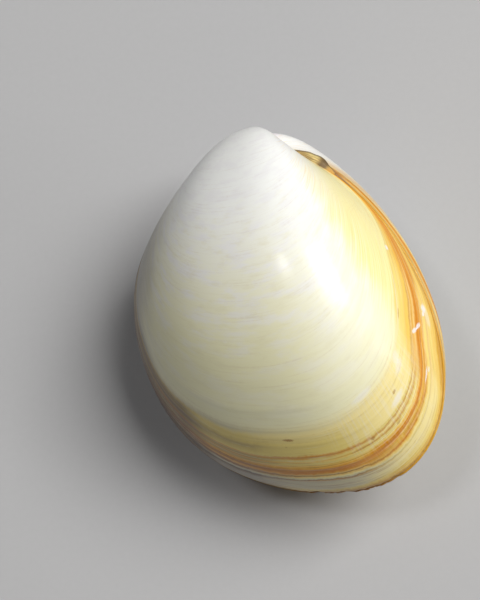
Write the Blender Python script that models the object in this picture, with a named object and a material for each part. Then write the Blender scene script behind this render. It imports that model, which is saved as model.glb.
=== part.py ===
"""A closed smooth cockle: two hollow valves and the horny ligament that holds them.

Everything is modelled in the shell's own axes and then laid down at rest:
+X runs to the back end, +Y up to the beaks, and +Z out of the left valve.
The valves meet at z = 0, and the beaks touch at the origin.
A valve is one lip outline that grows from the beak and coils about the hinge,
so its rings of growth are the same outline at smaller and smaller sizes.
"""

import math

import bmesh
import bpy
import numpy as np
from mathutils import Euler, Matrix, Vector

MM = 0.001

# Reach of the full-grown lip from the beak, at even steps from the front end round to the back
LIP_REACH = np.array([64.0, 54.0, 54.0, 57.0, 59.0, 40.0, 25.0]) * MM
LIP_FRONT_ANGLE = math.radians(199.0)
LIP_BACK_ANGLE = math.radians(351.0)
BEAK_TAPER = 0.63

# How the outline lifts out of the plane of the lip as it gets younger
COIL = 0.77
LIP_STEEPENING = 0.33
STEEPENING_POWER = 4
SIDE_LIFT = 0.23
COIL_AXIS = Vector((1.0, 0.0, -0.11)).normalized()

YOUNGEST = 0.035
PAST_LIP = 1.035
RINGS = 24
RING_POINTS = 52

# Growth stops: (size at the stop, height of the ledge that it leaves)
GROWTH_LEDGES = (
    (0.845, 0.16 * MM),
    (0.905, 0.14 * MM),
    (0.932, 0.20 * MM),
    (0.962, 0.18 * MM),
)
LEDGE_HALF_WIDTH = 0.004
LEDGE_FADE = 0.03

WALL_AT_LIP = 1.3 * MM
WALL_AT_BEAK = 2.3 * MM
CAVITY_YOUNGEST = 0.30
CAVITY_RINGS = 9
CAVITY_POINTS = 34
HINGE_PLATE_REACH = 0.11

VALVE_GAP = 0.3 * MM
RIGHT_VALVE_SCALE = 1.005

# Ligament: reach along the back slope of the hinge, and its half width
LIGAMENT_START = 0.978
LIGAMENT_END = 0.906
LIGAMENT_POINTS = 9
LIGAMENT_RADIUS = 1.55 * MM
LIGAMENT_TIP_RADIUS = 0.35 * MM
LIGAMENT_RISE = 0.35 * MM
LIGAMENT_GAP = 0.3 * MM

# Chips that broke out of both valves' lower lips together: (place along the lip, reach inward, half length)
LIP_CHIPS = (
    (0.505, 0.45 * MM, 1.3 * MM),
    (0.528, 0.35 * MM, 2.0 * MM),
    (0.560, 0.40 * MM, 1.6 * MM),
    (0.584, 0.60 * MM, 2.2 * MM),
)

# The shell rests on the bulge of its right valve
REST_TURN = Euler((math.radians(8.78), math.radians(-16.75), math.radians(0.73)))

VALVE_COLOUR = (0.86, 0.83, 0.70, 1.0)
RIGHT_VALVE_COLOUR = (0.90, 0.76, 0.52, 1.0)
LIGAMENT_COLOUR = (0.11, 0.06, 0.02, 1.0)


def clear_scene():
    for obj in list(bpy.data.objects):
        bpy.data.objects.remove(obj, do_unlink=True)


def new_collection(name):
    collection = bpy.data.collections.new(name)
    bpy.context.scene.collection.children.link(collection)
    return collection


def make_material(name, colour, roughness):
    material = bpy.data.materials.new(name)
    material.use_nodes = True
    shader = material.node_tree.nodes["Principled BSDF"]
    shader.inputs["Base Color"].default_value = colour
    shader.inputs["Roughness"].default_value = roughness
    shader.inputs["Metallic"].default_value = 0.0
    return material


def natural_curve(values, u):
    """A natural cubic curve through evenly spaced values, read at u from 0 to 1."""
    last = len(values) - 1
    system = np.eye(len(values))
    bend = np.zeros(len(values))
    for i in range(1, last):
        system[i, i - 1 : i + 2] = (1.0, 4.0, 1.0)
        bend[i] = 6.0 * (values[i + 1] - 2.0 * values[i] + values[i - 1])
    second = np.linalg.solve(system, bend)
    place = u * last
    i = np.clip(place.astype(int), 0, last - 1)
    a = place - i
    b = 1.0 - a
    straight = b * values[i] + a * values[i + 1]
    return straight + ((b**3 - b) * second[i] + (a**3 - a) * second[i + 1]) / 6.0


def lip_points(u):
    """Points of the lip at u, from 0 at the beak's front to 1 at its back, in the plane z = 0."""
    angle = LIP_FRONT_ANGLE + (LIP_BACK_ANGLE - LIP_FRONT_ANGLE) * u
    reach = np.sin(math.pi * u) ** BEAK_TAPER * natural_curve(LIP_REACH, u)
    return np.stack([reach * np.cos(angle), reach * np.sin(angle), 0.0 * u], axis=-1)


def even_places(count, start, end):
    """Places along the lip, from start to end, spaced evenly by length."""
    fine = np.linspace(start, end, 2000)
    points = lip_points(fine)
    steps = np.linalg.norm(np.diff(points, axis=0), axis=1)
    length = np.concatenate([[0.0], np.cumsum(steps)])
    return np.interp(np.linspace(0.0, length[-1], count), length, fine)


def growth_ring(size, u):
    """The outline at one size, lifted and coiled about the hinge."""
    lip = lip_points(u)
    side = 2.0 * u - 1.0
    turn = -COIL * math.log(size) + LIP_STEEPENING * (1.0 - size**STEEPENING_POWER)
    turn = -turn * (1.0 + SIDE_LIFT * side**2)
    axis = np.array(COIL_AXIS)
    along = (lip @ axis)[:, None] * axis
    across = np.cross(axis, lip)
    c = np.cos(turn)[:, None]
    s = np.sin(turn)[:, None]
    return size * (lip * c + across * s + along * (1.0 - c))


def outward(size, u):
    """Unit normals of the valve's outside at one ring."""
    step = 1e-4
    around = growth_ring(size, np.minimum(u + step, 1.0 - 1e-6)) - growth_ring(size, np.maximum(u - step, 1e-6))
    along = growth_ring(size * (1.0 + step), u) - growth_ring(size * (1.0 - step), u)
    normal = np.cross(along, around)
    return normal / np.linalg.norm(normal, axis=1, keepdims=True)


def ledge_height(size):
    """Relief of the growth stops: the shell swells up to each stop and drops behind it."""
    height = 0.0
    for stop, rise in GROWTH_LEDGES:
        if size <= stop:
            height += rise * max(0.0, 1.0 - (stop - size) / LEDGE_FADE)
        else:
            height += rise * max(0.0, 1.0 - (size - stop) / (2.0 * LEDGE_HALF_WIDTH))
    return height


def ring_sizes():
    """Sizes of the growth rings: even steps of growth, and a pair at each ledge."""
    sizes = list(np.geomspace(YOUNGEST, 0.8, RINGS))
    for stop, _ in GROWTH_LEDGES:
        sizes += [stop - LEDGE_HALF_WIDTH, stop + LEDGE_HALF_WIDTH]
    return sorted(sizes) + [1.0, PAST_LIP]


def loft(name, rings, mirrored):
    """A closed mesh from rings of points, with both ends capped."""
    mesh = bpy.data.meshes.new(name)
    bm = bmesh.new()
    flip = np.array([1.0, 1.0, -1.0 if mirrored else 1.0])
    rows = [[bm.verts.new(point * flip) for point in ring] for ring in rings]
    for young, old in zip(rows, rows[1:]):
        for i in range(len(young)):
            j = (i + 1) % len(young)
            bm.faces.new((young[i], young[j], old[j], old[i]))
    bm.faces.new(rows[0])
    bm.faces.new(rows[-1])
    bmesh.ops.recalc_face_normals(bm, faces=bm.faces)
    bmesh.ops.triangulate(bm, faces=[face for face in bm.faces if len(face.verts) > 4])
    bm.to_mesh(mesh)
    bm.free()
    return mesh


def shell_outside(name, mirrored):
    places = even_places(RING_POINTS, 0.006, 0.996)
    rings = []
    for size in ring_sizes():
        fade = np.clip(np.minimum(places, 1.0 - places) / 0.06, 0.0, 1.0)[:, None]
        relief = outward(size, places) * ledge_height(size) * fade
        rings.append(growth_ring(size, places) + relief)
    return loft(name, rings, mirrored)


def shell_cavity(name, mirrored):
    """The hollow of a valve, which leaves the wall and the plate under the hinge."""
    places = even_places(CAVITY_POINTS, HINGE_PLATE_REACH, 1.0 - HINGE_PLATE_REACH)
    rings = []
    for size in np.geomspace(CAVITY_YOUNGEST, PAST_LIP, CAVITY_RINGS):
        wall = WALL_AT_BEAK + (WALL_AT_LIP - WALL_AT_BEAK) * min(size, 1.0)
        rings.append(growth_ring(size, places) - outward(size, places) * wall)
    return loft(name, rings, mirrored)


def add_object(name, mesh, collection, scale=1.0):
    obj = bpy.data.objects.new(name, mesh)
    obj.scale = (scale, scale, scale)
    collection.objects.link(obj)
    return obj


def add_cutter(name, mesh, collection, scale=1.0):
    cutter = add_object(name, mesh, collection, scale)
    cutter.hide_render = True
    cutter.display_type = "WIRE"
    return cutter


def box_mesh(name, low, high):
    mesh = bpy.data.meshes.new(name)
    bm = bmesh.new()
    bmesh.ops.create_cube(bm, size=1.0)
    size = Vector(high) - Vector(low)
    middle = (Vector(high) + Vector(low)) / 2
    bmesh.ops.transform(bm, matrix=Matrix.Translation(middle) @ Matrix.Diagonal((*size, 1.0)), verts=bm.verts)
    bm.to_mesh(mesh)
    bm.free()
    return mesh


def cut(obj, cutters):
    """Takes all the cutters of a collection from the object in one cut."""
    modifier = obj.modifiers.new(cutters.name, "BOOLEAN")
    modifier.operation = "DIFFERENCE"
    modifier.solver = "EXACT"
    modifier.operand_type = "COLLECTION"
    modifier.collection = cutters


def ligament_mesh(name, radius_extra):
    """A spindle along the back slope of the hinge, as a mesh from a bevelled curve."""
    curve = bpy.data.curves.new(name, "CURVE")
    curve.dimensions = "3D"
    curve.bevel_depth = 1.0
    curve.bevel_resolution = 3
    curve.use_fill_caps = True
    spline = curve.splines.new("POLY")
    spline.points.add(LIGAMENT_POINTS - 1)
    places = even_places(LIGAMENT_POINTS, LIGAMENT_END, LIGAMENT_START)
    line = lip_points(places)
    for i, point in enumerate(spline.points):
        along = i / (LIGAMENT_POINTS - 1)
        swell = math.sin(math.pi * along) ** 0.6
        rise = LIGAMENT_RISE * swell
        tangent = Vector(line[min(i + 1, len(line) - 1)] - line[max(i - 1, 0)]).normalized()
        up = Vector((tangent.y, -tangent.x, 0.0))
        if up.y < 0.0:
            up.negate()
        point.co = (*(Vector(line[i]) + up * rise), 1.0)
        point.radius = LIGAMENT_TIP_RADIUS + (LIGAMENT_RADIUS - LIGAMENT_TIP_RADIUS) * swell + radius_extra
    guide = bpy.data.objects.new(name, curve)
    bpy.context.scene.collection.objects.link(guide)
    graph = bpy.context.evaluated_depsgraph_get()
    mesh = bpy.data.meshes.new_from_object(guide.evaluated_get(graph))
    bpy.data.objects.remove(guide, do_unlink=True)
    bm = bmesh.new()
    bm.from_mesh(mesh)
    bmesh.ops.remove_doubles(bm, verts=bm.verts, dist=1e-6)
    bmesh.ops.recalc_face_normals(bm, faces=bm.faces)
    bm.to_mesh(mesh)
    bm.free()
    return mesh


def chip_mesh(name, place, reach, half_length):
    """A shallow bite out of the lip: a stretched ball whose inner end reaches into the shell."""
    here = Vector(lip_points(np.array([place]))[0])
    ahead = Vector(lip_points(np.array([place + 0.002]))[0])
    tangent = (ahead - here).normalized()
    outside = Vector((here.x, here.y, 0.0)).normalized()
    outside = (outside - tangent * outside.dot(tangent)).normalized()
    depth = 2.5 * reach
    middle = here + outside * (depth - reach)
    mesh = bpy.data.meshes.new(name)
    bm = bmesh.new()
    bmesh.ops.create_icosphere(bm, subdivisions=2, radius=1.0)
    size = Matrix.Diagonal((half_length, depth, 1.6 * MM, 1.0))
    turn = Matrix((tangent, outside, Vector((0.0, 0.0, 1.0)))).transposed().to_4x4()
    bmesh.ops.transform(bm, matrix=Matrix.Translation(middle) @ turn @ size, verts=bm.verts)
    bmesh.ops.recalc_face_normals(bm, faces=bm.faces)
    bm.to_mesh(mesh)
    bm.free()
    return mesh


def make_valve(name, mirrored, parts, cutters, material):
    """One valve, hollow, and cut flat where it would meet the other valve."""
    scale = RIGHT_VALVE_SCALE if mirrored else 1.0
    valve = add_object(name, shell_outside(name, mirrored), parts, scale)
    valve.data.materials.append(material)
    add_cutter(name + "_hollow", shell_cavity(name + "_hollow", mirrored), cutters, scale)
    far = 80 * MM
    low = -VALVE_GAP / 2 if mirrored else -far
    high = far if mirrored else VALVE_GAP / 2
    beyond = box_mesh(name + "_beyond", (-far, -far, low), (far, far, high))
    add_cutter(name + "_beyond", beyond, cutters)
    cut(valve, cutters)
    return valve


def shade(obj):
    obj.data.shade_smooth()
    obj.data.set_sharp_from_angle(angle=math.radians(35))


def lay_at_rest(objects):
    """Turns the shell onto its right valve and stands its lowest point at z = 0."""
    bpy.context.view_layer.update()
    graph = bpy.context.evaluated_depsgraph_get()
    turn = REST_TURN.to_matrix()
    corners = []
    for obj in objects:
        solid = obj.evaluated_get(graph)
        corners += [turn @ (solid.matrix_world @ vertex.co) for vertex in solid.data.vertices]
    points = np.array(corners)
    low, high = points.min(axis=0), points.max(axis=0)
    rest = bpy.data.objects.new("rest", None)
    bpy.context.scene.collection.objects.link(rest)
    rest.rotation_euler = REST_TURN
    rest.location = (-(low[0] + high[0]) / 2, -(low[1] + high[1]) / 2, -low[2])
    return rest


def main():
    clear_scene()
    parts = new_collection("cockle_shell")
    left_cutters = new_collection("left_cutters")
    right_cutters = new_collection("right_cutters")

    for number, (place, reach, half_length) in enumerate(LIP_CHIPS, 1):
        name = f"lip_chip_{number}"
        chip = add_cutter(name, chip_mesh(name, place, reach, half_length), left_cutters)
        right_cutters.objects.link(chip)
    pocket = add_cutter("ligament_pocket", ligament_mesh("ligament_pocket", LIGAMENT_GAP), left_cutters)
    right_cutters.objects.link(pocket)

    shell = make_material("left_valve", VALVE_COLOUR, 0.25)
    left = make_valve("left_valve", False, parts, left_cutters, shell)
    shell = make_material("right_valve", RIGHT_VALVE_COLOUR, 0.25)
    right = make_valve("right_valve", True, parts, right_cutters, shell)
    ligament = add_object("ligament", ligament_mesh("ligament", 0.0), parts)
    ligament.data.materials.append(make_material("ligament", LIGAMENT_COLOUR, 0.5))

    for obj in (left, right, ligament):
        shade(obj)
    rest = lay_at_rest((left, right, ligament))
    for obj in bpy.data.objects:
        if obj != rest:
            obj.parent = rest


main()
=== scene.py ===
"""A closed smooth cockle: two glossy valves with their bands of growth, and the ligament behind the beaks.

The shell's own axes are +X to the back end, +Y up to the beaks and +Z out of the left valve.
A valve is one lip outline that grows from the beak and coils about the hinge, so any place on it
is given by two numbers: its size, which is the age of that stretch of lip (1 is the lip itself),
and its turn, which runs round the lip from the front of the beak (0) to the back of it (1).
"""

import math

import bmesh
import bpy
import numpy as np
from mathutils import Euler, Matrix, Vector


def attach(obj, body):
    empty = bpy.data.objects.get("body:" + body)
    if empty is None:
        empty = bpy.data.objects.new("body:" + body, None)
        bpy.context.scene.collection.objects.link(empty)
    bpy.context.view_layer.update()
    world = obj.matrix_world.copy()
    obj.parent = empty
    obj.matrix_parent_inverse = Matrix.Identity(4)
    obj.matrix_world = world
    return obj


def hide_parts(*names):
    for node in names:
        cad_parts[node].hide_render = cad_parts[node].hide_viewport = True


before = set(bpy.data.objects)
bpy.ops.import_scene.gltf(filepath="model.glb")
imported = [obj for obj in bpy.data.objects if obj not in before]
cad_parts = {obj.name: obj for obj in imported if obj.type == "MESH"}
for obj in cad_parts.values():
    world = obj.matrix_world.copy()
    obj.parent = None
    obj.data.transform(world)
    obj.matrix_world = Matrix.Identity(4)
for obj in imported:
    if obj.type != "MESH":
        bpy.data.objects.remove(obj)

bl_info = {
    "name": "Smooth cockle shell",
    "version": (1, 0, 0),
    "blender": (4, 5, 0),
    "location": "View3D > Sidebar > Shell",
    "description": "Makes a closed smooth cockle shell with its growth bands",
    "category": "Add Mesh",
}

MM = 0.001

# The outline of the lip: its reach from the beak at even steps from the front end round to the back
LIP_REACH = np.array([64.0, 54.0, 54.0, 57.0, 59.0, 40.0, 25.0]) * MM
LIP_FRONT_ANGLE = math.radians(199.0)
LIP_BACK_ANGLE = math.radians(351.0)
BEAK_TAPER = 0.63

# How the outline lifts out of the plane of the lip as it gets younger
COIL = 0.77
LIP_STEEPENING = 0.33
STEEPENING_POWER = 4
SIDE_LIFT = 0.23
COIL_AXIS = np.array([1.0, 0.0, -0.11]) / math.hypot(1.0, 0.11)
RIGHT_VALVE_SCALE = 1.005
VALVE_GAP = 0.3 * MM

# Where the beaks are and how the shell lies
REST_TURN = Euler((math.radians(8.78), math.radians(-16.75), math.radians(0.73)))
BEAK_PLACE = Vector((-3.767, 26.302, 23.619)) * MM

# The smooth bulge of the lower valve reaches this much further down than the faceted solid
SMOOTH_BULGE = 0.30 * MM
LIFTED_BEAK = BEAK_PLACE + Vector((0.0, 0.0, SMOOTH_BULGE))
LAID_DOWN = Matrix.Translation(LIFTED_BEAK) @ REST_TURN.to_matrix().to_4x4()

# The fine mesh of a valve
YOUNGEST = 0.03
COLUMNS = 420
DISC_RINGS = 84
RIM_RINGS = 112
RIM_FROM = 0.80
EDGE_RINGS = 7
INSIDE_RINGS = 16
INSIDE_YOUNGEST = 0.30
HINGE_PLATE_REACH = 0.11

# Growth stops: (size at the stop, its share of the tallest ledge's height)
GROWTH_LEDGES = (
    (0.845, 0.20),
    (0.903, 0.75),
    (0.918, 0.30),
    (0.932, 1.00),
    (0.945, 0.45),
    (0.960, 0.90),
    (0.990, 0.40),
)
LEDGE_DROP = 0.0022
LEDGE_FADE = 0.028
UNEVENNESS = 0.05 * MM

# Where all the bands stray from their age: (turn, how far towards the lip, width in turns)
BAND_STRAYS = (
    (0.430, 0.0045, 0.050),
    (0.718, -0.0120, 0.024),
)
BAND_WAVER = 0.0012

# Towards the ligament the bands of the left valve crowd to the lip, and those of the right valve fan out
LEFT_CROWDING = 0.34
RIGHT_CROWDING = -0.15
CROWDING_FROM = 0.745
CROWDING_SPAN = 0.055
CROWDING_POWER = 2.4
CROWDING_LIMIT = 1.95

# Chips in the lower lip: (turn, reach inward, half length in turns)
LIP_CHIPS = (
    (0.506, 0.55 * MM, 0.0075),
    (0.521, 0.30 * MM, 0.0090),
    (0.536, 0.60 * MM, 0.0100),
    (0.553, 0.28 * MM, 0.0080),
    (0.567, 0.40 * MM, 0.0075),
    (0.581, 0.25 * MM, 0.0065),
    (0.593, 0.45 * MM, 0.0060),
)

# The ragged wear between the chips, and the wear that all of the lip has
WORN_REACH = 0.22 * MM
RUBBED_REACH = 0.02 * MM

# The lip's rounding: how far from the edge it starts, and how far the edge is drawn in
LIP_ROUNDING = 0.35 * MM
LIP_TUCK = 0.16 * MM

# Flaked places on the bands: (turn, size, half turn, half size, how far it leans along the bands)
SCARS = (
    (0.7150, 0.904, 0.0045, 0.0050, 1.9),
    (0.7235, 0.921, 0.0040, 0.0050, 1.9),
    (0.7190, 0.913, 0.0022, 0.0025, 1.9),
    (0.7460, 0.960, 0.0045, 0.0095, 1.6),
    (0.7400, 0.952, 0.0030, 0.0040, 1.6),
    (0.6900, 0.945, 0.0075, 0.0022, 0.1),
    (0.6960, 0.951, 0.0025, 0.0016, 0.1),
    (0.7810, 0.870, 0.0035, 0.0085, 1.8),
)
SCAR_DEPTH = 0.05 * MM
SCAR_STRENGTH = 0.8

# Small stains and milky places: (turn, size, half turn, half size, strength, name of the colour)
STAINS = (
    (0.5080, 0.865, 0.0075, 0.0028, 0.75, "umber"),
    (0.5020, 0.880, 0.0015, 0.0012, 0.40, "umber"),
    (0.6010, 0.906, 0.0030, 0.0032, 0.60, "umber"),
    (0.6490, 0.878, 0.0030, 0.0030, 0.55, "umber"),
    (0.6340, 0.919, 0.0035, 0.0026, 0.40, "umber"),
    (0.7130, 0.847, 0.0055, 0.0022, 0.50, "umber"),
    (0.6480, 0.891, 0.0120, 0.0060, 0.50, "cloud"),
    (0.6705, 0.866, 0.0085, 0.0080, 0.40, "cloud"),
    (0.6740, 0.853, 0.0060, 0.0110, 0.40, "cloud"),
    (0.6150, 0.832, 0.0160, 0.0060, 0.40, "cloud"),
    (0.7420, 0.968, 0.0100, 0.0100, 0.30, "cloud"),
)

LIGAMENT_START = 0.978
LIGAMENT_END = 0.906
LIGAMENT_TIP = 0.30 * MM
LIGAMENT_RISE = 0.10 * MM
LIGAMENT_LEAN = 0.25 * MM
LIGAMENT_WANDER = 0.05 * MM
# How far the lip of each valve draws back to make room for it
LEFT_POCKET = 0.30 * MM
RIGHT_POCKET = 1.25 * MM
# How full it is from its back end to the beaks: a low tail, a step, and a wedge
LIGAMENT_STEPS = (0.0, 0.06, 0.15, 0.25, 0.36, 0.60, 0.85, 0.97, 1.0)
LIGAMENT_SWELLS = (0.05, 0.28, 0.42, 0.88, 1.00, 0.86, 0.52, 0.16, 0.05)
LIGAMENT_RINGS = 110
LIGAMENT_SIDES = 48
SWELL_SMOOTHING = 7

# The shell's gloss and the depth of its finest lines
SHELL_SPECULAR = 0.22
SHELL_COAT = 0.36
SHELL_COAT_ROUGHNESS = 0.19
SHELL_IOR = 1.5
SHELL_BUMP = 0.25
SHELL_BUMP_DEPTH = 0.04 * MM
LIGAMENT_BUMP = 0.6
LIGAMENT_BUMP_DEPTH = 0.08 * MM

# The camera's place and turn in the shell's own axes
CAMERA_PLACE = Vector((94.33, -38.09, 216.59)) * MM
CAMERA_TURN = Euler((math.radians(0.8815), math.radians(24.8155), math.radians(-5.8155)))
SENSOR = 36.0
LENS = 86.2

# The soft panels: (name, direction from the shell, distance, width, height, watts, colour)
LIGHTS = (
    ("key", (0.54, 0.22, 0.81), 1.50, 0.80, 0.80, 24.2, (1.0, 0.99, 0.96)),
    ("overhead", (-0.213, 0.128, 0.968), 1.00, 0.16, 0.16, 1.40, (1.0, 1.0, 1.0)),
    ("window", (0.94, -0.06, 0.34), 1.20, 0.48, 0.34, 1.60, (1.0, 1.0, 1.0)),
    ("lip_fill", (0.10, -0.80, 0.55), 1.20, 0.60, 0.60, 0.40, (1.0, 0.95, 0.86)),
)
LIGHT_TARGET = Vector((0.0, 0.0, 0.022))
ROOM_COLOUR = (0.92, 0.94, 1.0, 1.0)
ROOM_STRENGTH = 0.015
FLOOR_HALF = 3.0


def display_colour(red, green, blue):
    """A colour given as it looks on a screen, from 0 to 255, as the linear values that shaders take."""
    linear = [((v / 255 + 0.055) / 1.055) ** 2.4 if v > 10 else v / 255 / 12.92 for v in (red, green, blue)]
    return (*linear, 1.0)


def natural_curve(values, u):
    """A natural cubic curve through evenly spaced values, read at u from 0 to 1."""
    last = len(values) - 1
    system = np.eye(len(values))
    bend = np.zeros(len(values))
    for i in range(1, last):
        system[i, i - 1 : i + 2] = (1.0, 4.0, 1.0)
        bend[i] = 6.0 * (values[i + 1] - 2.0 * values[i] + values[i - 1])
    second = np.linalg.solve(system, bend)
    place = u * last
    i = np.clip(place.astype(int), 0, last - 1)
    a = place - i
    b = 1.0 - a
    straight = b * values[i] + a * values[i + 1]
    return straight + ((b**3 - b) * second[i] + (a**3 - a) * second[i + 1]) / 6.0


def lip_points(turn):
    """Points of the full-grown lip, in the plane where the valves meet."""
    angle = LIP_FRONT_ANGLE + (LIP_BACK_ANGLE - LIP_FRONT_ANGLE) * turn
    reach = np.sin(math.pi * turn) ** BEAK_TAPER * natural_curve(LIP_REACH, turn)
    return np.stack([reach * np.cos(angle), reach * np.sin(angle), 0.0 * turn], axis=-1)


def even_turns(count, start, end):
    """Places along the lip from start to end, spaced evenly by length."""
    fine = np.linspace(start, end, 4000)
    steps = np.linalg.norm(np.diff(lip_points(fine), axis=0), axis=1)
    length = np.concatenate([[0.0], np.cumsum(steps)])
    return np.interp(np.linspace(0.0, length[-1], count), length, fine)


def shell_points(size, turn):
    """Points of the smooth outside of a left valve; size and turn are arrays of one shape."""
    lip = lip_points(turn)
    side = 2.0 * turn - 1.0
    lift = -COIL * np.log(size) + LIP_STEEPENING * (1.0 - size**STEEPENING_POWER)
    lift = -lift * (1.0 + SIDE_LIFT * side**2)
    along = (lip @ COIL_AXIS)[..., None] * COIL_AXIS
    across = np.cross(COIL_AXIS, lip)
    c = np.cos(lift)[..., None]
    s = np.sin(lift)[..., None]
    return size[..., None] * (lip * c + across * s + along * (1.0 - c))


def shell_normals(size, turn):
    """Unit normals that point out of the left valve."""
    step, end = 1e-4, 1e-6
    before, after = np.maximum(turn - step, end), np.minimum(turn + step, 1.0 - end)
    around = shell_points(size, after) - shell_points(size, before)
    along = shell_points(size * (1.0 + step), turn) - shell_points(size * (1.0 - step), turn)
    normal = np.cross(along, around)
    return normal / np.maximum(np.linalg.norm(normal, axis=-1, keepdims=True), 1e-12)


def smooth_step(low, high, value):
    """Goes smoothly from 0 to 1 as the value passes from low to high."""
    x = np.clip((value - low) / (high - low), 0.0, 1.0)
    return x * x * (3.0 - 2.0 * x)


def rough_line(values, seed, slowest, fastest, waves):
    """Uneven ups and downs along one line, about from -1 to 1: a sum of seeded waves."""
    chance = np.random.default_rng(seed)
    rates = np.exp(chance.uniform(math.log(slowest), math.log(fastest), waves))
    starts = chance.uniform(0.0, 2.0 * math.pi, waves)
    total = np.zeros_like(values)
    for rate, start in zip(rates, starts):
        total += np.sin(2.0 * math.pi * rate * values + start)
    return total / math.sqrt(waves / 2.0) / 2.0


def growth_age(size, turn, crowded):
    """The size at which a band was laid down: bands waver, and crowd or fan out behind the ligament."""
    waver = BAND_WAVER * rough_line(turn, 3, 2.0, 9.0, 6)
    for place, shift, width in BAND_STRAYS:
        waver = waver + shift * np.exp(-(((turn - place) / width) ** 2))
    age = size - waver * smooth_step(0.55, 0.9, size)
    rise = np.maximum((turn - CROWDING_FROM) / CROWDING_SPAN, 0.0)
    rise = rise / (1.0 + (rise / CROWDING_LIMIT) ** 8) ** 0.125
    return 1.0 - (1.0 - age) * (1.0 + crowded * rise**CROWDING_POWER)


def relief(age, size, turn, sizes, scars):
    """Height of the growth stops, of the fine growth lines, of the scars and of slow unevenness."""
    height = np.zeros_like(age)
    for stop, share in GROWTH_LEDGES:
        swell = np.clip(1.0 - (stop - age) / LEDGE_FADE, 0.0, 1.0) ** 2
        drop = 1.0 - smooth_step(stop, stop + LEDGE_DROP, age)
        strength = 0.75 + 0.25 * rough_line(turn + stop, 41, 2.0, 12.0, 6)
        height += sizes.ledge_height * share * strength * np.where(age <= stop, swell, drop)
    line_height = sizes.line_height * (0.3 + 0.7 * smooth_step(0.45, 0.95, size))
    height += line_height * rough_line(age, 11, 18.0, 150.0, 26)
    slow = rough_line(turn, 5, 1.5, 5.0, 5) * rough_line(size, 6, 2.0, 7.0, 5)
    height += UNEVENNESS * slow
    for place, at, half_turn, half_size, lean in scars:
        across = (turn - place) / half_turn
        along = (size - at - lean * (turn - place)) / half_size
        height -= SCAR_DEPTH * np.exp(-(across**4) - along**4)
    fade = smooth_step(0.0, 0.06, np.minimum(turn, 1.0 - turn)) * smooth_step(0.05, 0.2, size)
    return height * fade


def lip_loss(turn, side):
    """How far the lip has broken or drawn back, measured along the shell, at each place along it."""
    loss = np.full_like(turn, RUBBED_REACH)
    ragged = np.clip(0.5 + 0.5 * rough_line(turn, 21, 60.0, 220.0, 9), 0.0, 1.2)
    for place, reach, half in LIP_CHIPS:
        bite = np.clip(1.0 - ((turn - place) / half) ** 2, 0.0, 1.0)
        loss = np.maximum(loss, reach * np.sqrt(bite) * (0.75 + 0.35 * ragged))
    worn = smooth_step(0.48, 0.50, turn) * smooth_step(0.67, 0.64, turn)
    loss = loss + WORN_REACH * worn * ragged**2
    span = (turn - LIGAMENT_END) / (LIGAMENT_START - LIGAMENT_END)
    lens = np.sin(math.pi * np.clip(span, 0.0, 1.0)) ** 0.8
    return loss + lens * (LEFT_POCKET if side > 0 else RIGHT_POCKET)


def grid_faces(rows, columns, first=0):
    """Quads of a grid of points that closes on itself round each row."""
    i = np.arange(rows - 1)[:, None]
    j = np.arange(columns)[None, :]
    k = (j + 1) % columns
    a, b = i * columns + j, i * columns + k
    c, d = (i + 1) * columns + k, (i + 1) * columns + j
    return (np.stack([a, b, c, d], axis=-1) + first).reshape(-1, 4)


def mesh_from_grid(name, rows, mirrored, attributes):
    """A closed mesh from rows of points, capped at both ends, with a number per point for each attribute."""
    count, columns = rows.shape[:2]
    points = rows.reshape(-1, 3)
    quads = grid_faces(count, columns)
    caps = [np.arange(columns)[::-1], np.arange(columns) + (count - 1) * columns]
    if mirrored:
        points = points * np.array([1.0, 1.0, -1.0])
        quads = quads[:, ::-1]
        caps = [cap[::-1] for cap in caps]
    mesh = bpy.data.meshes.new(name)
    mesh.from_pydata(points.tolist(), [], quads.tolist() + [cap.tolist() for cap in caps])
    for key, values in attributes.items():
        layer = mesh.attributes.new(key, "FLOAT", "POINT")
        layer.data.foreach_set("value", np.ascontiguousarray(values.reshape(-1), dtype=np.float32))
    mesh.validate()
    mesh.shade_smooth()
    return mesh


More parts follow.
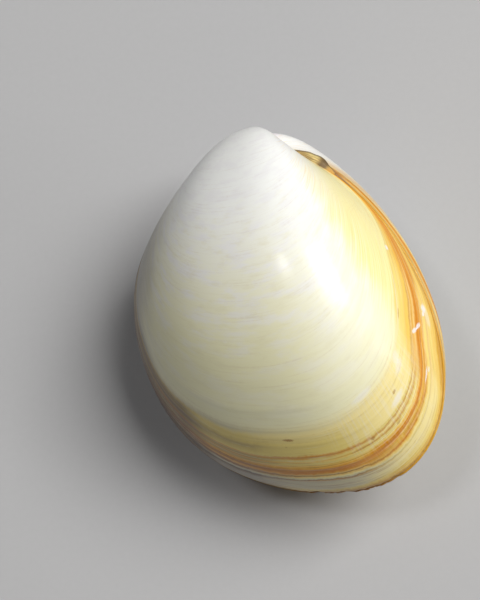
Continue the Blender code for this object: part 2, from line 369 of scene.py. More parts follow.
def valve_mesh(name, side, sizes):
    """The outside, the lip and the hollow inside of one valve, as one closed surface."""
    turn = even_turns(COLUMNS, 0.0008, 0.9992)
    disc = np.geomspace(YOUNGEST, RIM_FROM, DISC_RINGS, endpoint=False)
    rings = np.concatenate([disc, np.linspace(RIM_FROM, 1.0, RIM_RINGS)])

    grid_turn = np.broadcast_to(turn, (len(rings), COLUMNS))
    ones = np.ones(COLUMNS)
    growth_rate = np.linalg.norm(shell_points(ones, turn) - shell_points(ones * 0.99, turn), axis=-1) / 0.01
    end = 1.0 - lip_loss(turn, side) / np.maximum(growth_rate, 4 * MM)
    drawn = np.clip((rings[:, None] - 0.90) / 0.10, 0.0, 1.0)
    grid_size = rings[:, None] - drawn * (1.0 - end[None, :])
    age = growth_age(grid_size, grid_turn, LEFT_CROWDING if side > 0 else RIGHT_CROWDING)
    normal = shell_normals(grid_size, grid_turn)
    height = relief(age, grid_size, grid_turn, sizes, SCARS if side > 0 else ())
    outside = shell_points(grid_size, grid_turn) + normal * height[..., None]

    # The lip rounds over
    to_edge = (end[None, :] - grid_size) * growth_rate
    tuck = LIP_TUCK * np.clip(1.0 - to_edge / LIP_ROUNDING, 0.0, 1.0) ** 2
    inward = -lip_points(turn) + lip_points(np.array([0.5])) * 0.5
    inward /= np.linalg.norm(inward, axis=-1, keepdims=True)
    outside = outside + inward[None] * tuck[..., None]

    inner_turn = even_turns(COLUMNS, HINGE_PLATE_REACH, 1.0 - HINGE_PLATE_REACH)
    inner_sizes = np.geomspace(1.0, INSIDE_YOUNGEST, INSIDE_RINGS)
    inside = []
    for size in inner_sizes:
        wall = sizes.beak_wall + (sizes.lip_wall - sizes.beak_wall) * size
        ring_size = np.full(COLUMNS, size)
        inside.append(shell_points(ring_size, inner_turn) - shell_normals(ring_size, inner_turn) * wall)
    inside = np.stack(inside)
    inside[0, :, 2] = 0.0

    edge = []
    start, target = outside[-1], inside[0]
    for step in range(1, EDGE_RINGS):
        ring = start + (target - start) * (step / EDGE_RINGS) ** 1.5
        ring[:, 2] = start[:, 2] * (1.0 - min(1.0, step / 3.0)) ** 1.5
        edge.append(ring)
    rows = np.concatenate([outside, np.stack(edge), inside])
    rows[..., 2] += VALVE_GAP / 2
    if side < 0:
        rows = rows * RIGHT_VALVE_SCALE

    blank = np.ones((len(edge) + len(inside), COLUMNS))
    edge_part = np.linspace(0.0, 1.0, len(edge))[:, None] ** 2 * np.ones((1, COLUMNS))
    attributes = {
        "size": np.concatenate([grid_size, blank]),
        "growth": np.concatenate([age, blank]),
        "turn": np.concatenate([grid_turn, blank * turn[None]]),
        "inner": np.concatenate([0.0 * age, edge_part, blank[len(edge) :]]),
    }
    return mesh_from_grid(name, rows, side < 0, attributes)


def ligament_mesh(name, sizes):
    """The horny band behind the beaks: a flattened spindle of lengthwise fibres."""
    along = np.linspace(0.0, 1.0, LIGAMENT_RINGS)
    line = lip_points(LIGAMENT_END + (LIGAMENT_START - LIGAMENT_END) * along)
    tangent = np.gradient(line, axis=0)
    tangent /= np.linalg.norm(tangent, axis=-1, keepdims=True)
    outward = np.stack([-tangent[:, 1], tangent[:, 0], 0.0 * along], axis=-1)
    outward *= np.where(outward[:, 1:2] < 0.0, -1.0, 1.0)
    angle = np.linspace(0.0, 2.0 * math.pi, LIGAMENT_SIDES, endpoint=False)
    swell = np.interp(along, LIGAMENT_STEPS, LIGAMENT_SWELLS)
    evener = np.full(SWELL_SMOOTHING, 1.0 / SWELL_SMOOTHING)
    swell = np.convolve(np.pad(swell, SWELL_SMOOTHING // 2, mode="edge"), evener, mode="valid")
    ridges = 1.0 + 0.035 * np.sin(9 * angle) + 0.02 * np.sin(17 * angle + 1.0)
    wide = (LIGAMENT_TIP + (sizes.ligament_width - LIGAMENT_TIP) * swell)[:, None] * ridges
    tall = (LIGAMENT_TIP + (sizes.ligament_height - LIGAMENT_TIP) * swell)[:, None] * ridges
    wander = LIGAMENT_WANDER * rough_line(along, 33, 1.0, 6.0, 5)[:, None]
    centre = line + outward * LIGAMENT_RISE * swell[:, None]
    centre[:, 2] -= LIGAMENT_LEAN * swell
    rows = centre[:, None] + outward[:, None] * (np.cos(angle)[None, :] * wide + wander)[..., None]
    rows[..., 2] += np.sin(angle)[None, :] * tall
    shape = (LIGAMENT_RINGS, LIGAMENT_SIDES)
    attributes = {
        "along": np.broadcast_to(along[:, None], shape),
        "round": np.broadcast_to(angle[None] / (2.0 * math.pi), shape),
    }
    mesh = mesh_from_grid(name, rows, False, attributes)
    work = bmesh.new()
    work.from_mesh(mesh)
    bmesh.ops.recalc_face_normals(work, faces=work.faces)
    work.to_mesh(mesh)
    work.free()
    return mesh


class NodeBench:
    """Adds shader nodes to one tree and joins them."""

    def __init__(self, tree):
        self.tree = tree
        self.count = 0

    def add(self, kind, **settings):
        """A new node, set out beside the last one, with its settings."""
        node = self.tree.nodes.new(kind)
        node.location = (self.count % 8 * 190, -(self.count // 8) * 240)
        self.count += 1
        for key, value in settings.items():
            setattr(node, key, value)
        return node

    def feed(self, socket, source):
        """Joins a source socket to an input, or sets the input to a plain value."""
        if isinstance(source, bpy.types.NodeSocket):
            self.tree.links.new(source, socket)
        else:
            socket.default_value = source

    def math(self, operation, first, second=0.0):
        node = self.add("ShaderNodeMath", operation=operation)
        self.feed(node.inputs[0], first)
        self.feed(node.inputs[1], second)
        return node.outputs[0]

    def product(self, first, *others):
        """All the values multiplied together."""
        for other in others:
            first = self.math("MULTIPLY", first, other)
        return first

    def map_range(self, kind, numbers):
        node = self.add("ShaderNodeMapRange", interpolation_type=kind, clamp=True)
        for place, source in enumerate(numbers):
            self.feed(node.inputs[place], source)
        return node.outputs[0]

    def mask(self, value, low, high, to_low=0.0, to_high=1.0):
        """Goes smoothly from to_low to to_high as the value passes from low to high."""
        return self.map_range("SMOOTHSTEP", (value, low, high, to_low, to_high))

    def scale(self, value, low, high, to_low, to_high):
        """Goes straight from to_low to to_high as the value passes from low to high."""
        return self.map_range("LINEAR", (value, low, high, to_low, to_high))

    def blend(self, factor, first, second):
        """The first colour where the factor is 0, the second where it is 1."""
        node = self.add("ShaderNodeMix", data_type="RGBA", clamp_factor=True)
        self.feed(node.inputs["Factor"], factor)
        self.feed(node.inputs[6], first)
        self.feed(node.inputs[7], second)
        return node.outputs[2]

    def tint(self, colour, over, *masks):
        """Lays one colour over another where all the masks are up."""
        return self.blend(self.product(*masks), colour, over)

    def vector(self, x, y, z=0.0):
        node = self.add("ShaderNodeCombineXYZ")
        for socket, source in zip(node.inputs, (x, y, z)):
            self.feed(socket, source)
        return node.outputs[0]

    def noise(self, vector, scale=1.0, detail=2.0, roughness=0.5):
        """Soft noise, mostly between 0.3 and 0.7."""
        node = self.add("ShaderNodeTexNoise", noise_dimensions="3D")
        self.feed(node.inputs["Vector"], vector)
        node.inputs["Scale"].default_value = scale
        node.inputs["Detail"].default_value = detail
        node.inputs["Roughness"].default_value = roughness
        return node.outputs["Fac"]

    def ramp(self, factor, stops):
        """A run of colours: each stop is a place from 0 to 1 and a colour."""
        node = self.add("ShaderNodeValToRGB")
        band = node.color_ramp
        while len(band.elements) > 1:
            band.elements.remove(band.elements[-1])
        band.elements[0].position, band.elements[0].color = stops[0]
        for place, colour in stops[1:]:
            band.elements.new(place).color = colour
        self.feed(node.inputs["Fac"], factor)
        return node.outputs["Color"]


def group_tree(name, inputs, outputs):
    """A shader node group with named sockets, and its inner bench and ends."""
    tree = bpy.data.node_groups.new(name, "ShaderNodeTree")
    for label, kind, value in inputs:
        socket = tree.interface.new_socket(label, in_out="INPUT", socket_type=kind)
        socket.default_value = value
    for label, kind in outputs:
        tree.interface.new_socket(label, in_out="OUTPUT", socket_type=kind)
    bench = NodeBench(tree)
    return tree, bench, bench.add("NodeGroupInput").outputs, bench.add("NodeGroupOutput").inputs


def attribute(bench, name):
    """Reads a number that the mesh carries at each point."""
    return bench.add("ShaderNodeAttribute", attribute_name=name).outputs["Fac"]


def use_group(bench, tree, **values):
    """Places a group and feeds its inputs, which are named like the values but with a capital."""
    node = bench.add("ShaderNodeGroup", node_tree=tree)
    for key, value in values.items():
        bench.feed(node.inputs[key.capitalize()], value)
    return node.outputs


COLOUR = "NodeSocketColor"
NUMBER = "NodeSocketFloat"


# The bands of growth at seven places round the lip: (age, name of the colour). The grey browns of the front and
# front_corner runs are partly the bands' own colour and partly painted shade, darker for the front that turns
# away from the light.
BANDS = {
    "front": (
        (0.800, "painted_shade"), (0.850, "painted_shade"), (0.855, "moss"), (0.860, "drab"), (0.880, "smoke"),
        (0.895, "drab"), (0.915, "slate"), (0.935, "smoke"), (0.955, "slate"), (0.985, "smoke"),
        (1.000, "slate"),
    ),
    "front_corner": (
        (0.800, "cream"), (0.838, "cream"), (0.850, "dust"), (0.858, "moss"), (0.866, "drab"),
        (0.878, "drab"), (0.886, "smoke"), (0.893, "drab"), (0.902, "brick"), (0.907, "smoke"),
        (0.917, "drab"), (0.927, "smoke"), (0.935, "brick"), (0.941, "smoke"), (0.948, "mauve"),
        (0.958, "slate"), (0.970, "slate"), (0.980, "smoke"), (1.000, "mauve"),
    ),
    "front_lip": (
        (0.800, "cream"), (0.834, "cream"), (0.850, "dust"), (0.862, "khaki"), (0.868, "khaki"),
        (0.880, "moss"), (0.898, "khaki"), (0.902, "amber"), (0.906, "moss"), (0.915, "tan"),
        (0.919, "moss"), (0.926, "amber"), (0.934, "brick"), (0.942, "amber"), (0.946, "brick"),
        (0.951, "mauve"), (0.955, "pearl"), (0.959, "mist"), (0.9605, "plum"), (0.963, "plum"),
        (0.9655, "smoke"), (0.975, "mist"), (0.988, "mist"), (0.994, "mauve"), (1.000, "drab"),
    ),
    "lip": (
        (0.800, "cream"), (0.828, "cream"), (0.856, "sand"), (0.878, "khaki"),
        (0.898, "khaki"), (0.902, "orange"), (0.905, "amber"), (0.909, "khaki"), (0.915, "gold"),
        (0.919, "khaki"), (0.924, "gold"), (0.929, "amber"), (0.933, "orange"), (0.939, "rust"),
        (0.942, "orange"), (0.945, "gold"), (0.948, "umber"), (0.9495, "gold"), (0.953, "sand"),
        (0.957, "pearl"), (0.9595, "mauve"), (0.961, "tan"), (0.964, "pearl"), (0.984, "pearl"),
        (0.990, "khaki"), (0.996, "tan"), (1.000, "umber"),
    ),
    "back_lip": (
        (0.800, "cream"), (0.822, "cream"), (0.850, "sand"), (0.858, "sand"),
        (0.896, "sand"), (0.901, "khaki"), (0.904, "tan"), (0.908, "sand"), (0.914, "tan"),
        (0.917, "khaki"), (0.921, "sand"), (0.925, "gold"), (0.929, "orange"), (0.934, "rust"),
        (0.937, "orange"), (0.941, "gold"), (0.945, "amber"), (0.949, "rust"), (0.952, "gold"),
        (0.956, "sand"), (0.9595, "khaki"), (0.962, "sand"), (0.978, "sand"), (0.986, "honey"),
        (0.993, "gold"), (1.000, "ochre"),
    ),
    "back": (
        (0.800, "straw"), (0.834, "straw"), (0.844, "honey"), (0.849, "khaki"), (0.856, "honey"),
        (0.872, "honey"), (0.886, "gold"), (0.895, "gold"), (0.899, "tan"), (0.902, "peach"),
        (0.908, "amber"), (0.915, "peach"), (0.920, "orange"), (0.925, "rust"), (0.929, "orange"),
        (0.934, "rust"), (0.938, "amber"), (0.943, "orange"), (0.947, "peach"), (0.955, "honey"),
        (0.963, "peach"), (0.974, "honey"), (0.984, "gold"), (0.993, "gold"), (0.997, "ochre"),
        (1.000, "ochre"),
    ),
    "hinge_side": (
        (0.800, "straw"), (0.838, "straw"), (0.850, "honey"), (0.858, "khaki"), (0.862, "gold"),
        (0.884, "gold"), (0.896, "amber"), (0.908, "orange"), (0.915, "amber"), (0.920, "rust"),
        (0.925, "orange"), (0.933, "rust"), (0.941, "amber"), (0.950, "rust"), (0.958, "amber"),
        (0.967, "gold"), (0.976, "gold"), (0.986, "ochre"), (1.000, "ochre"),
    ),
}

# Where one place hands over to the next: (turn where it starts, turn where it is done)
HANDOVERS = ((0.245, 0.315), (0.345, 0.400), (0.435, 0.500), (0.555, 0.625), (0.672, 0.712), (0.745, 0.785))
BANDS_FROM = 0.80


def rim_place(age):
    """The place of an age on a run of bands, from the first band to the lip."""
    return (age - BANDS_FROM) / (1.0 - BANDS_FROM)


def streaky(bench, turn, size, around, along, detail, roughness=0.5):
    """Noise with so many cells round the lip and so many from beak to lip."""
    place = bench.vector(bench.math("MULTIPLY", turn, around), bench.math("MULTIPLY", size, along))
    return bench.noise(place, detail=detail, roughness=roughness)


def make_spot():
    """Group: a soft oval spot at one place of the shell."""
    inputs = [(key, NUMBER, 0.5) for key in ("Turn", "Size", "At_turn", "At_size", "Half_turn", "Half_size")]
    tree, bench, given, made = group_tree("growth_spot", inputs, [("Mask", NUMBER)])
    squares = []
    for key in ("turn", "size"):
        off = bench.math("SUBTRACT", given[key.capitalize()], given["At_" + key])
        off = bench.math("DIVIDE", off, given["Half_" + key])
        squares.append(bench.math("MULTIPLY", off, off))
    ragged = streaky(bench, given["Turn"], given["Size"], 700.0, 900.0, 2.0)
    reach = bench.math("ADD", bench.math("ADD", *squares), bench.scale(ragged, 0.3, 0.7, -0.45, 0.45))
    bench.feed(made["Mask"], bench.mask(reach, 1.3, 0.2))
    return tree


def rim_colour(bench, paint, age, unsteady):
    """The runs of bands near the lip, each handing over to the next round the shell."""
    place = bench.scale(age, BANDS_FROM, 1.0, 0.0, 1.0)
    runs = [bench.ramp(place, [(rim_place(at), paint[key]) for at, key in run]) for run in BANDS.values()]
    rim = runs[0]
    for run, (start, done) in zip(runs[1:], HANDOVERS):
        rim = bench.blend(bench.mask(unsteady, start, done), rim, run)
    return rim


def disc_colour(bench, paint, size, turn, unsteady, lower):
    """The old part of the shell: white at the beak, cream further out, yellow on the back slope, and grey
    painted shade over its front.
    """
    disc = bench.tint(paint["white"], paint["cream"], bench.mask(size, 0.34, 0.74))
    ridge = bench.mask(turn, 0.55, 0.63, 0.0, 0.36)
    disc = bench.tint(disc, paint["white"], ridge, bench.mask(size, 0.85, 0.70))
    milky = bench.mask(streaky(bench, turn, size, 15.0, 34.0, 5.0, 0.6), 0.44, 0.64)
    disc = bench.tint(disc, paint["cloud"], milky, bench.mask(size, 0.86, 0.50, 0.12, 0.70))
    dull = bench.mask(streaky(bench, turn, size, 22.0, 60.0, 5.0, 0.65), 0.48, 0.72)
    disc = bench.tint(disc, paint["dust"], dull, bench.mask(size, 0.30, 0.50, 0.0, 0.28))
    disc = bench.tint(disc, paint["lilac"], bench.mask(size, 0.15, 0.05, 0.0, 0.7))
    # Painted shade: the front of the disc, which turns away from the light, is greyed more towards the lip.
    front = bench.mask(unsteady, 0.31, 0.17)
    disc = bench.tint(disc, paint["painted_shade"], front, bench.mask(size, 0.35, 0.72, 0.0, 0.9))
    slope = bench.mask(unsteady, 0.690, 0.730)
    disc = bench.tint(disc, paint["straw"], slope, bench.mask(size, 0.26, 0.74))
    shoulder = bench.mask(turn, 0.85, 0.93)
    disc = bench.tint(disc, paint["peach"], shoulder, bench.mask(size, 0.30, 0.55))
    flank = bench.mask(unsteady, 0.72, 0.82, 0.0, 0.6)
    return bench.tint(disc, paint["apricot"], flank, bench.mask(size, 0.30, 0.62), lower)


def add_growth_lines(bench, paint, colour, size, growth, turn, fine, slow):
    """Fine dark and pale lines, broken up along the lip, and still finer threads on the bands."""
    lines = streaky(bench, turn, growth, 7.0, 230.0, 4.0, 0.65)
    broken = bench.scale(fine, 0.35, 0.65, 0.2, 1.0)
    depth = bench.product(bench.mask(size, 0.78, 0.93, 0.12, 0.34), broken)
    colour = bench.tint(colour, paint["umber"], bench.mask(lines, 0.47, 0.33), depth)
    colour = bench.tint(colour, paint["white"], bench.mask(lines, 0.55, 0.70), depth)
    threads = streaky(bench, turn, growth, 16.0, 420.0, 3.0, 0.6)
    broken = bench.mask(slow, 0.36, 0.60, 0.3, 1.0)
    depth = bench.product(bench.mask(growth, 0.885, 0.91, 0.0, 0.45), broken)
    colour = bench.tint(colour, paint["umber"], bench.mask(threads, 0.47, 0.36), depth)
    return bench.tint(colour, paint["sand"], bench.mask(threads, 0.54, 0.66), depth)


def add_slope_streaks(bench, paint, colour, size, growth, turn):
    """Reddish and pale streaks along the growth on the back slope."""
    streaks = streaky(bench, turn, size, 9.0, 260.0, 3.0, 0.6)
    zone = bench.product(bench.mask(turn, 0.675, 0.72, 0.0, 0.40), bench.mask(growth, 0.89, 0.84))
    colour = bench.tint(colour, paint["peach"], bench.mask(streaks, 0.48, 0.36), zone)
    return bench.tint(colour, paint["cloud"], bench.mask(streaks, 0.53, 0.66), zone)


def add_riblets(bench, paint, colour, growth, turn):
    """Pale riblets that run out from the beak over the sandy band."""
    rays = streaky(bench, turn, growth, 400.0, 14.0, 2.0)
    around = bench.product(bench.mask(turn, 0.535, 0.60), bench.mask(turn, 0.72, 0.66))
    along = bench.product(bench.mask(growth, 0.825, 0.85), bench.mask(growth, 0.94, 0.90, 0.04, 0.17))
    return bench.tint(colour, paint["cloud"], bench.mask(rays, 0.46, 0.60), around, along)


def add_blemishes(bench, paint, colour, spot, size, turn, upper):
    """The upper valve's stains, milky places and flaked places."""
    stained = [(*stain, 0.0) for stain in STAINS]
    flaked = [(*scar[:4], SCAR_STRENGTH, "cloud", scar[4]) for scar in SCARS]
    for at_turn, at_size, half_turn, half_size, strength, tint, lean in stained + flaked:
        along = bench.math("MULTIPLY", bench.math("SUBTRACT", turn, at_turn), lean)
        place = {"turn": turn, "size": bench.math("SUBTRACT", size, along)}
        reach = {"at_turn": at_turn, "at_size": at_size, "half_turn": half_turn, "half_size": half_size}
        mask = use_group(bench, spot, **place, **reach)["Mask"]
        colour = bench.tint(colour, paint[tint], mask, upper, strength)
    return colour


def make_growth_bands(colours, spot):
    """Group: the colour of the shell by size, by age and by place round the lip."""
    inputs = [(key, NUMBER, 0.5) for key in ("Size", "Growth", "Turn", "Lower")]
    tree, bench, given, made = group_tree("growth_bands", inputs, [("Color", COLOUR)])
    size, growth, turn, lower = (given[key] for key in ("Size", "Growth", "Turn", "Lower"))
    paint = {key: tuple(getattr(colours, key)) for key in colours.__annotations__}

    slow = streaky(bench, turn, growth, 14.0, 22.0, 3.0)
    fine = streaky(bench, turn, growth, 150.0, 60.0, 4.0, 0.6)
    slow_drift = bench.scale(slow, 0.3, 0.7, -0.0028, 0.0028)
    fine_drift = bench.scale(fine, 0.3, 0.7, -0.0018, 0.0018)
    age = bench.math("ADD", growth, bench.math("ADD", slow_drift, fine_drift))
    unsteady = bench.math("ADD", turn, bench.scale(slow, 0.3, 0.7, -0.012, 0.012))

    disc = disc_colour(bench, paint, size, turn, unsteady, lower)
    colour = bench.blend(bench.mask(age, 0.815, 0.853), disc, rim_colour(bench, paint, age, unsteady))
    beside_ligament = bench.product(bench.mask(turn, 0.872, 0.890), bench.mask(turn, 0.955, 0.935))
    colour = bench.tint(colour, paint["umber"], beside_ligament, bench.mask(size, 0.56, 0.72), lower)
    colour = add_growth_lines(bench, paint, colour, size, growth, turn, fine, slow)
    colour = add_slope_streaks(bench, paint, colour, size, growth, turn)
    colour = add_riblets(bench, paint, colour, growth, turn)
    upper = bench.math("SUBTRACT", 1.0, lower)
    bench.feed(made["Color"], add_blemishes(bench, paint, colour, spot, size, turn, upper))
    return tree


def make_growth_lines():
    """Group: the height of the finest growth lines and of the riblets that run out from the beak."""
    inputs = [("Growth", NUMBER, 0.5), ("Turn", NUMBER, 0.5), ("Riblets", NUMBER, 1.0)]
    tree, bench, given, made = group_tree("growth_lines", inputs, [("Height", NUMBER), ("Roughness", NUMBER)])
    growth, turn = given["Growth"], given["Turn"]
    lines = streaky(bench, turn, growth, 4.0, 420.0, 3.0, 0.7)
    rays = streaky(bench, turn, growth, 300.0, 3.0, 1.0)
    zone = bench.product(bench.mask(turn, 0.58, 0.70, 0.15, 1.0), given["Riblets"])
    bench.feed(made["Height"], bench.math("ADD", lines, bench.product(rays, zone)))
    grain = streaky(bench, turn, growth, 60.0, 90.0, 4.0, 0.7)
    bench.feed(made["Roughness"], bench.scale(grain, 0.3, 0.75, 0.30, 0.46))
    return tree


def new_material(name):
    """A material, the bench of its nodes and its shader."""
    material = bpy.data.materials.new(name)
    material.use_nodes = True
    return material, NodeBench(material.node_tree), material.node_tree.nodes["Principled BSDF"]


def add_bump(bench, shader, height, strength, depth):
    """Lets a height roughen the surface."""
    bump = bench.add("ShaderNodeBump")
    bump.inputs["Strength"].default_value = strength
    bump.inputs["Distance"].default_value = depth
    bench.feed(bump.inputs["Height"], height)
    bench.feed(shader.inputs["Normal"], bump.outputs["Normal"])


def valve_material(name, groups, colours, riblets, lower):
    """Glossy shell: growth bands outside, and plain pearly shell inside the lip."""
    material, bench, shader = new_material(name)
    size, growth, turn, inner = (attribute(bench, key) for key in ("size", "growth", "turn", "inner"))
    painted = use_group(bench, groups["bands"], size=size, growth=growth, turn=turn, lower=lower)["Color"]
    bench.feed(shader.inputs["Base Color"], bench.blend(inner, painted, tuple(colours.pearl)))
    texture = use_group(bench, groups["lines"], growth=growth, turn=turn, riblets=riblets)
    bench.feed(shader.inputs["Roughness"], texture["Roughness"])
    add_bump(bench, shader, texture["Height"], SHELL_BUMP, SHELL_BUMP_DEPTH)
    shader.inputs["Specular IOR Level"].default_value = SHELL_SPECULAR
    shader.inputs["Coat Weight"].default_value = SHELL_COAT
    shader.inputs["Coat Roughness"].default_value = SHELL_COAT_ROUGHNESS
    shader.inputs["IOR"].default_value = SHELL_IOR
    return material


def ligament_material(name, colours):
    """Dry horn in lengthwise fibres: pale in the middle as a painted highlight on its swell, dark at the step
    and the rim, tan at the tail.
    """
    material, bench, shader = new_material(name)
    along, around = attribute(bench, "along"), attribute(bench, "round")
    fibres = streaky(bench, along, around, 3.0, 34.0, 4.0, 0.6)
    bark, olive, pale, tail = (tuple(getattr(colours, key)) for key in ("bark", "olive", "sand", "tan"))
    colour = bench.tint(bark, olive, bench.mask(fibres, 0.34, 0.60, 0.25, 0.95))
    # Painted highlight: pale sand along the middle of the spindle, where it swells most.
    middle = bench.product(bench.mask(along, 0.26, 0.38), bench.mask(along, 0.62, 0.46))
    colour = bench.tint(colour, pale, middle, bench.mask(fibres, 0.40, 0.62, 0.1, 0.75))
    colour = bench.tint(colour, bark, bench.mask(along, 0.34, 0.24), bench.mask(along, 0.10, 0.18), 0.85)
    colour = bench.tint(colour, tail, bench.mask(along, 0.16, 0.08, 0.0, 0.9))
    rim = bench.math("ABSOLUTE", bench.math("SUBTRACT", around, 0.5))
    colour = bench.tint(colour, bark, bench.mask(rim, 0.40, 0.46, 0.0, 0.85))
    bench.feed(shader.inputs["Base Color"], colour)
    bench.feed(shader.inputs["Roughness"], bench.scale(fibres, 0.3, 0.7, 0.62, 0.38))
    add_bump(bench, shader, fibres, LIGAMENT_BUMP, LIGAMENT_BUMP_DEPTH)
    return material


def floor_material(name, colour):
    """Plain and matt, with a faint grain."""
    material, bench, shader = new_material(name)
    place = bench.add("ShaderNodeTexCoord").outputs["Object"]
    grain = bench.noise(place, 900.0, 3.0, 0.6)
    deeper = tuple(0.95 * v for v in colour[:3]) + (1.0,)
    bench.feed(shader.inputs["Base Color"], bench.blend(grain, deeper, tuple(colour)))
    shader.inputs["Roughness"].default_value = 0.85
    return material


def colour_setting(name, description, red, green, blue):
    """A colour that can be changed, given as it looks on a screen."""
    return bpy.props.FloatVectorProperty(
        name=name,
        description=description,
        subtype="COLOR",
        size=4,
        min=0.0,
        max=1.0,
        default=display_colour(red, green, blue),
    )


class ShellColours(bpy.types.PropertyGroup):
    white: colour_setting("White", "The oldest part of the shell, round the beak", 246, 247, 245)
    cloud: colour_setting("Cloud", "Milky patches on the disc, and flaked places", 240, 239, 240)
    cream: colour_setting("Cream", "The disc", 240, 236, 197)
    dust: colour_setting("Dust", "Dull patches between the clouds", 222, 214, 176)
    moss: colour_setting("Moss", "The first band outside the disc where it turns to the front", 196, 173, 104)
    apricot: colour_setting("Apricot", "The back flank of the lower valve", 228, 152, 76)
    lilac: colour_setting("Lilac", "The tip of the beak", 216, 200, 214)
    sand: colour_setting("Sand", "The pale bands at the lower lip", 245, 227, 158)
    straw: colour_setting("Straw", "The pale yellow of the back slope", 245, 234, 164)
    honey: colour_setting("Honey", "The yellow edge of the disc on the back slope", 240, 214, 120)
    khaki: colour_setting("Khaki", "The first band outside the disc", 233, 211, 124)
    gold: colour_setting("Gold", "The youngest shell at the back", 238, 198, 92)
    amber: colour_setting("Amber", "The golden brown bands", 228, 169, 58)
    orange: colour_setting("Orange", "The heart of the main band", 222, 149, 32)
    rust: colour_setting("Rust", "The reddest streaks of the main band", 206, 127, 24)
    brick: colour_setting("Brick", "The main band where it turns to the front", 166, 103, 24)
    tan: colour_setting("Tan", "Thin growth lines on pale bands", 208, 160, 80)
    umber: colour_setting("Umber", "Dark growth lines and stains", 160, 106, 40)
    ochre: colour_setting("Ochre", "The margin of the lip at the back", 212, 158, 40)
    peach: colour_setting("Peach", "Pinkish cream outside the main band", 242, 204, 126)
    pearl: colour_setting("Pearl", "The pale band at the lower lip", 212, 203, 170)
    mist: colour_setting("Mist", "The pale band at the front of the lower lip", 178, 169, 154)
    mauve: colour_setting("Mauve", "Brownish purple of the bands at the front", 150, 112, 74)
    plum: colour_setting("Plum", "The darkest growth line", 92, 72, 78)
    # Smoke and slate are partly the bands' own grey brown and partly painted shade of the shaded front.
    smoke: colour_setting("Smoke", "Grey of the bands at the front", 122, 98, 70)
    slate: colour_setting("Slate", "Dark grey of the bands at the front", 104, 84, 66)
    drab: colour_setting("Drab", "Grey brown of the bands at the front", 152, 128, 74)
    # Painted shade: a grey laid over the front of the disc, where it turns away from the light.
    painted_shade: colour_setting("Ash", "The shaded front of the disc", 148, 142, 129)
    olive: colour_setting("Olive", "The ligament's light fibres", 200, 170, 108)
    bark: colour_setting("Bark", "The ligament's dark fibres", 98, 76, 46)
    floor: colour_setting("Floor", "The plain floor", 184, 184, 186)


def size_setting(name, description, default):
    """A length that can be changed, in metres."""
    said = {"name": name, "description": description, "default": default}
    return bpy.props.FloatProperty(**said, min=0.0, precision=5, subtype="DISTANCE", unit="LENGTH")


class ShellSizes(bpy.types.PropertyGroup):
    ledge_height: size_setting("Growth ledge", "Height of the tallest growth ledge", 0.16 * MM)
    line_height: size_setting("Growth line", "Height of the growth lines near the lip", 0.022 * MM)
    lip_wall: size_setting("Wall at the lip", "Thickness of the shell at its lip", 1.3 * MM)
    beak_wall: size_setting("Wall at the beak", "Thickness of the shell at its beak", 2.3 * MM)
    ligament_width: size_setting("Ligament width", "Half the width of the ligament at its middle", 1.35 * MM)
    ligament_height: size_setting("Ligament height", "Half the height of the ligament at its middle", 1.10 * MM)


class COCKLE_OT_valves(bpy.types.Operator):
    """Make both valves, with their growth bands"""

    bl_idname = "cockle.valves"
    bl_label = "Valves"

    def execute(self, context):
        colours, sizes = context.scene.cockle_colours, context.scene.cockle_sizes
        groups = {"bands": make_growth_bands(colours, make_spot()), "lines": make_growth_lines()}
        for node, side, riblets, lower in (("left_valve", 1, 1.0, 0.0), ("right_valve", -1, 0.7, 1.0)):
            name = node + "_shell"
            piece = new_piece(name, valve_mesh(name, side, sizes))
            piece.data.materials.append(valve_material(name, groups, colours, riblets, lower))
            belong(piece, node)
        return {"FINISHED"}


class COCKLE_OT_ligament(bpy.types.Operator):
    """Make the horny band that holds the valves together behind the beaks"""

    bl_idname = "cockle.ligament"
    bl_label = "Ligament"

    def execute(self, context):
        piece = new_piece("ligament_band", ligament_mesh("ligament_band", context.scene.cockle_sizes))
        piece.data.materials.append(ligament_material("ligament_band", context.scene.cockle_colours))
        belong(piece, "ligament")
        return {"FINISHED"}


def new_piece(name, mesh):
    """A new object whose mesh is laid down with the shell."""
    mesh.transform(LAID_DOWN)
    piece = bpy.data.objects.new(name, mesh)
    bpy.context.scene.collection.objects.link(piece)
    return piece


def belong(piece, node):
    """The piece stands for the CAD node, whose part is hidden, and rides on the only body."""
    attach(piece, "root")
    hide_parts(node)


def add_camera():
    """The camera at the angle the shell was photographed from."""
    data = bpy.data.cameras.new("photo_view")
    data.sensor_width = SENSOR
    data.lens = LENS
    data.clip_start = 0.01
    data.clip_end = 10.0
    camera = bpy.data.objects.new("photo_view", data)
    bpy.context.scene.collection.objects.link(camera)
    camera.matrix_world = LAID_DOWN @ Matrix.Translation(CAMERA_PLACE) @ CAMERA_TURN.to_matrix().to_4x4()
    bpy.context.scene.camera = camera


def add_light(name, direction, distance, width, height, watts, colour):
    """A soft panel that faces the shell from the given direction."""
    data = bpy.data.lights.new(name, "AREA")
    data.shape = "RECTANGLE"
    data.size, data.size_y = width, height
    data.energy = watts
    data.color = colour
    light = bpy.data.objects.new(name, data)
    bpy.context.scene.collection.objects.link(light)
    towards = Vector(direction).normalized()
    light.location = LIGHT_TARGET + towards * distance
    light.rotation_euler = towards.to_track_quat("Z", "Y").to_euler()


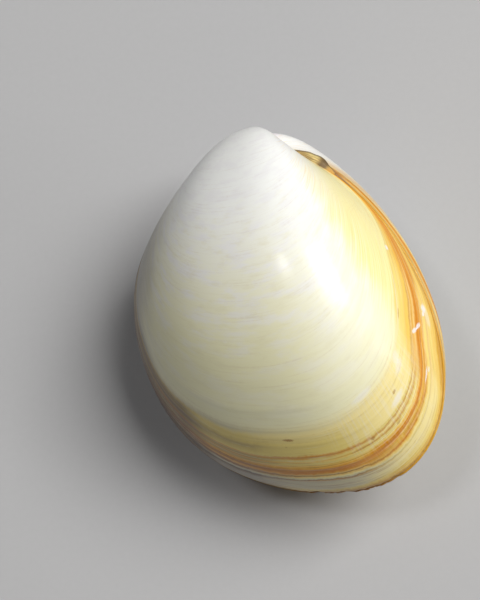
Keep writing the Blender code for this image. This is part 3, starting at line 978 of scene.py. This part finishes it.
class COCKLE_OT_stage(bpy.types.Operator):
    """Make the floor, the lights and the camera"""

    bl_idname = "cockle.stage"
    bl_label = "Stage"

    def execute(self, context):
        scene = context.scene
        mesh = bpy.data.meshes.new("floor")
        sides = ((-1, -1), (1, -1), (1, 1), (-1, 1))
        mesh.from_pydata([(x * FLOOR_HALF, y * FLOOR_HALF, 0.0) for x, y in sides], [], [(0, 1, 2, 3)])
        floor = bpy.data.objects.new("floor", mesh)
        scene.collection.objects.link(floor)
        mesh.materials.append(floor_material("floor", scene.cockle_colours.floor))

        for panel in LIGHTS:
            add_light(*panel)
        world = bpy.data.worlds.new("studio")
        scene.world = world
        world.use_nodes = True
        background = world.node_tree.nodes["Background"]
        background.inputs["Color"].default_value = ROOM_COLOUR
        background.inputs["Strength"].default_value = ROOM_STRENGTH
        scene.view_settings.view_transform = "Standard"
        add_camera()
        return {"FINISHED"}


class COCKLE_PT_panel(bpy.types.Panel):
    """Lists the shell's pieces and its colours"""

    bl_idname = "COCKLE_PT_panel"
    bl_label = "Cockle shell"
    bl_space_type = "VIEW_3D"
    bl_region_type = "UI"
    bl_category = "Shell"

    def draw(self, context):
        layout = self.layout
        for operator in PIECE_OPERATORS:
            layout.operator(operator.bl_idname)
        for group in (context.scene.cockle_sizes, context.scene.cockle_colours):
            for key in group.__annotations__:
                layout.prop(group, key)


PIECE_OPERATORS = (COCKLE_OT_valves, COCKLE_OT_ligament, COCKLE_OT_stage)
CLASSES = (ShellColours, ShellSizes, *PIECE_OPERATORS, COCKLE_PT_panel)


def register():
    for entry in CLASSES:
        bpy.utils.register_class(entry)
    bpy.types.Scene.cockle_colours = bpy.props.PointerProperty(type=ShellColours)
    bpy.types.Scene.cockle_sizes = bpy.props.PointerProperty(type=ShellSizes)


def unregister():
    del bpy.types.Scene.cockle_sizes
    del bpy.types.Scene.cockle_colours
    for entry in reversed(CLASSES):
        bpy.utils.unregister_class(entry)


def main():
    """Makes the shell and its stage."""
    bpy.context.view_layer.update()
    register()
    bpy.ops.cockle.valves()
    bpy.ops.cockle.ligament()
    bpy.ops.cockle.stage()


if __name__ == "__main__":
    main()
